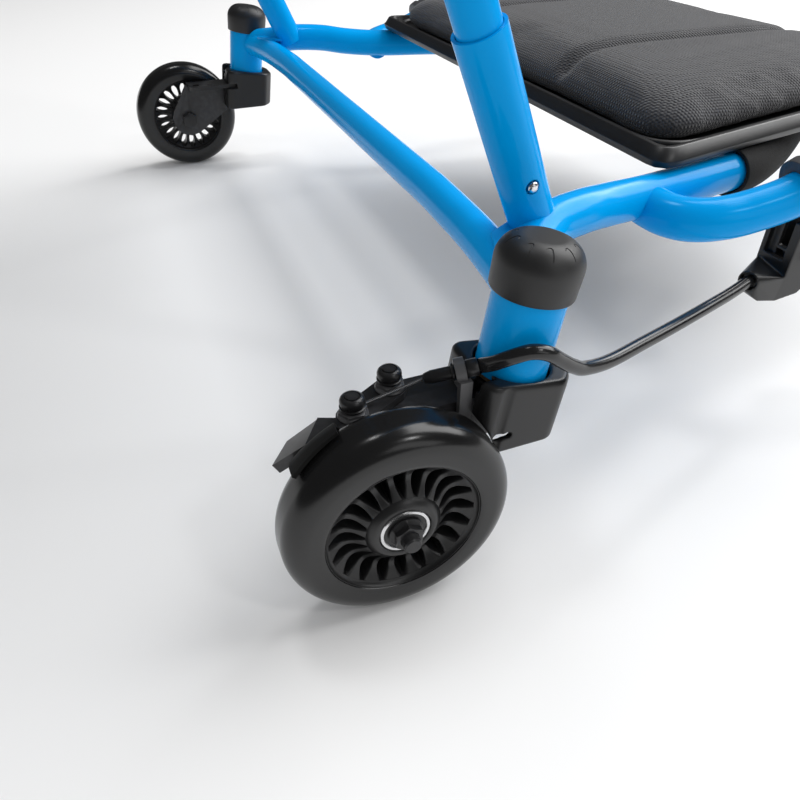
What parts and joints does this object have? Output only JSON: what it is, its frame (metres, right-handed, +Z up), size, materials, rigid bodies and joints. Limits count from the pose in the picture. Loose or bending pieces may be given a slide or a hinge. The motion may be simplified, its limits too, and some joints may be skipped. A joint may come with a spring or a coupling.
{
  "type": "kids ride-on scooter",
  "caption": "Low kids ride-on scooter: padded seat in a welded tube frame, caster rear wheels, a steered front wheel with a foot bar, and a hand lever that works a cable brake.",
  "frame": {"origin": "middle of the overall box on the floor", "axes": "+X forward along the scooter, +Y to its left, +Z up"},
  "size_m": [0.863, 0.6494, 0.4013],
  "materials": {
    "blue_gloss_paint": "gloss powder coat, bright blue",
    "black_coated_steel": "black coated steel, semi gloss",
    "grey_coated_steel": "dark grey coated steel, satin",
    "black_moulded_plastic": "black moulded plastic, fine texture",
    "black_rubber": "matt black rubber",
    "black_urethane": "smooth black urethane, soft sheen",
    "bright_steel": "bright ground steel",
    "bronze_bush": "plain bronze bush",
    "foam_sleeve": "soft open foam, matt black",
    "seat_fabric": "dark woven seat fabric"
  },
  "bodies": {
    "frame": {"frame": "blue_gloss_paint", "grip_tube_right": "blue_gloss_paint", "grip_tube_left": "blue_gloss_paint", "hand_grip_right": "black_rubber", "hand_grip_left": "black_rubber", "rail_sleeve_right": "foam_sleeve", "rail_sleeve_left": "foam_sleeve", "post_cap_right": "black_rubber", "post_cap_left": "black_rubber", "swivel_bush_lower_right": "bronze_bush", "swivel_bush_lower_left": "bronze_bush", "swivel_bush_upper_right": "bronze_bush", "swivel_bush_upper_left": "bronze_bush", "backrest_frame": "blue_gloss_paint", "backrest_pad": "seat_fabric", "seat_shell": "black_moulded_plastic", "seat_pad": "seat_fabric", "front_boom": "blue_gloss_paint", "head_bush": "bronze_bush", "brake_lever_housing": "black_moulded_plastic", "lever_pin": "bright_steel", "cable_outer": "black_moulded_plastic"},
    "caster_right": {"caster_housing_right": "black_moulded_plastic", "axle_arm_right": "black_coated_steel", "swivel_bolt_right": "black_coated_steel", "axle_bolt_right": "black_coated_steel", "axle_nut_right": "black_coated_steel", "pivot_bolt": "black_coated_steel", "cable_stop": "grey_coated_steel", "cable_adjuster": "grey_coated_steel", "brake_wire": "black_moulded_plastic"},
    "caster_left": {"caster_housing_left": "black_moulded_plastic", "axle_arm_left": "black_coated_steel", "swivel_bolt_left": "black_coated_steel", "axle_bolt_left": "black_coated_steel", "axle_nut_left": "black_coated_steel"},
    "brake_arm": {"brake_arm": "black_coated_steel", "brake_shoe": "black_coated_steel", "pinch_bolt": "black_coated_steel"},
    "brake_lever": {"brake_lever": "black_moulded_plastic"},
    "fork": {"fork": "blue_gloss_paint", "head_bolt": "black_coated_steel", "axle_bolt_front": "black_coated_steel", "foot_peg_right": "black_rubber", "foot_peg_left": "black_rubber"},
    "snap_button_right": {"snap_button_right": "bright_steel"},
    "snap_button_left": {"snap_button_left": "bright_steel"},
    "snap_button_boom": {"snap_button_boom": "bright_steel"},
    "wheel_right": {"tyre_right": "black_urethane", "wheel_core_right": "black_moulded_plastic", "bearing_outer_right": "bright_steel", "bearing_inner_right": "bright_steel"},
    "wheel_left": {"tyre_left": "black_urethane", "wheel_core_left": "black_moulded_plastic", "bearing_outer_left": "bright_steel", "bearing_inner_left": "bright_steel"},
    "wheel_front": {"tyre_front": "black_urethane", "wheel_core_front": "black_moulded_plastic", "bearing_outer_front": "bright_steel", "bearing_inner_front": "bright_steel"}
  },
  "joints": [
    {"name": "swivel_right", "type": "hinge", "parent": "frame", "child": "caster_right", "pos_m": [-0.3238, -0.279, 0.05], "axis": [0.153, 0, 0.9882], "range_deg": [-25, 25], "deforming": ["cable_outer"]},
    {"name": "spin_right", "type": "hinge", "parent": "caster_right", "child": "wheel_right", "pos_m": [-0.3815, -0.304, 0.05], "axis": [0, 1, 0], "continuous": true},
    {"name": "swivel_left", "type": "hinge", "parent": "frame", "child": "caster_left", "pos_m": [-0.3238, 0.279, 0.05], "axis": [0.153, 0, 0.9882], "range_deg": [-25, 25]},
    {"name": "spin_left", "type": "hinge", "parent": "caster_left", "child": "wheel_left", "pos_m": [-0.3815, 0.304, 0.05], "axis": [0, 1, 0], "continuous": true},
    {"name": "steer", "type": "hinge", "parent": "frame", "child": "fork", "pos_m": [0.3785, 0, 0.112], "axis": [0, 0, 1], "range_deg": [-40, 40]},
    {"name": "spin_front", "type": "hinge", "parent": "fork", "child": "wheel_front", "pos_m": [0.3535, 0, 0.05], "axis": [0, 1, 0], "continuous": true},
    {"name": "lever_squeeze", "type": "hinge", "parent": "frame", "child": "brake_lever", "pos_m": [-0.1195, -0.245, 0.092], "axis": [0, -1, 0], "range_deg": [0, 20], "stiffness_Nm_per_rad": 0.4, "springref_deg": -20.05},
    {"name": "brake_swing", "type": "hinge", "parent": "caster_right", "child": "brake_arm", "pos_m": [-0.3706, -0.2704, 0.0865], "axis": [0, 0, 1], "range_deg": [0, 1.3], "deforming": ["brake_wire"]},
    {"name": "press_button_right", "type": "slide", "parent": "frame", "child": "snap_button_right", "axis": [-0.0242, 0.9982, 0.0552], "range_m": [0, 0.004], "stiffness_N_per_m": 1500, "springref_m": -0.002},
    {"name": "press_button_left", "type": "slide", "parent": "frame", "child": "snap_button_left", "axis": [-0.0242, -0.9982, 0.0552], "range_m": [0, 0.004], "stiffness_N_per_m": 1500, "springref_m": -0.002},
    {"name": "press_button_boom", "type": "slide", "parent": "frame", "child": "snap_button_boom", "axis": [0, 0, -1], "range_m": [0, 0.004], "stiffness_N_per_m": 1500, "springref_m": -0.002}
  ],
  "couplings": [
    {"joint": "brake_swing", "follows": "lever_squeeze", "ratio": 0.065}
  ]
}
